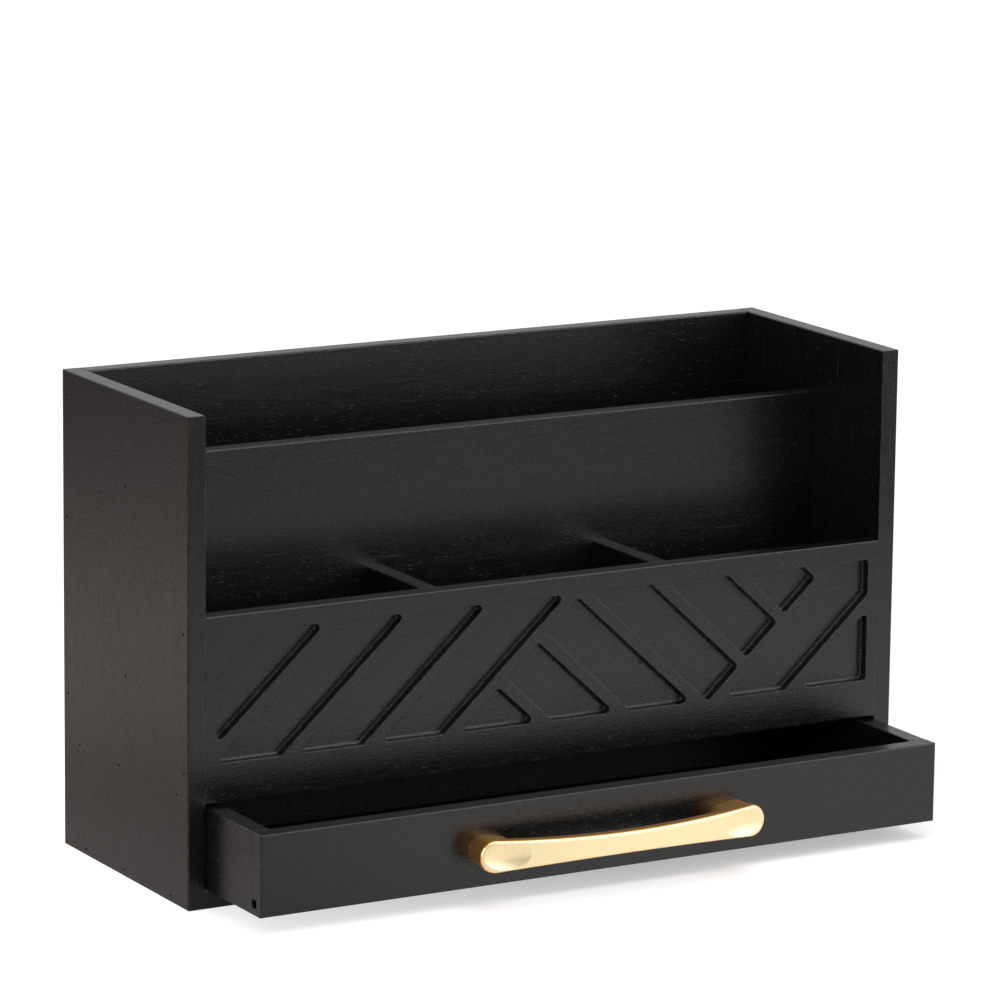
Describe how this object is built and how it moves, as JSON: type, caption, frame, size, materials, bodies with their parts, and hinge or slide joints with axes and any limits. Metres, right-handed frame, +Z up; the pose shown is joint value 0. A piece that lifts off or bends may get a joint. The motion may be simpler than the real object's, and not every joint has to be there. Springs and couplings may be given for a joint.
{
  "type": "envelope sorter with drawer",
  "caption": "Desk-top sorter in black-stained wood: tall slot for envelopes at the back, compartments in front, and a shallow drawer with a bow handle.",
  "frame": {"origin": "centre of the case's underside", "axes": "+Z up, front and drawer handle towards -Y, +X to the right seen from the front"},
  "size_m": [0.32, 0.173, 0.1925],
  "materials": {
    "stained_wood": "black stain, open grain, satin",
    "stained_ply": "black stained ply, satin",
    "satin_gold": "satin pale gold",
    "zinc_steel": "zinc plated",
    "brad_steel": "nail heads under the black stain"
  },
  "bodies": {
    "case": {"left_side_panel": "stained_wood", "right_side_panel": "stained_wood", "back_panel": "stained_wood", "mid_panel": "stained_wood", "front_panel": "stained_wood", "deck_board": "stained_wood", "bottom_board": "stained_wood", "left_divider": "stained_wood", "right_divider": "stained_wood", "left_side_brads": "brad_steel", "right_side_brads": "brad_steel"},
    "drawer": {"drawer_front": "stained_wood", "drawer_left_side": "stained_wood", "drawer_right_side": "stained_wood", "drawer_back": "stained_wood", "drawer_bottom": "stained_ply", "drawer_handle": "satin_gold", "handle_screws": "zinc_steel", "drawer_brads": "brad_steel"}
  },
  "joints": [
    {"name": "drawer_slide", "type": "slide", "parent": "case", "child": "drawer", "axis": [0, -1, 0], "range_m": [-0.0454, 0.0346]}
  ]
}
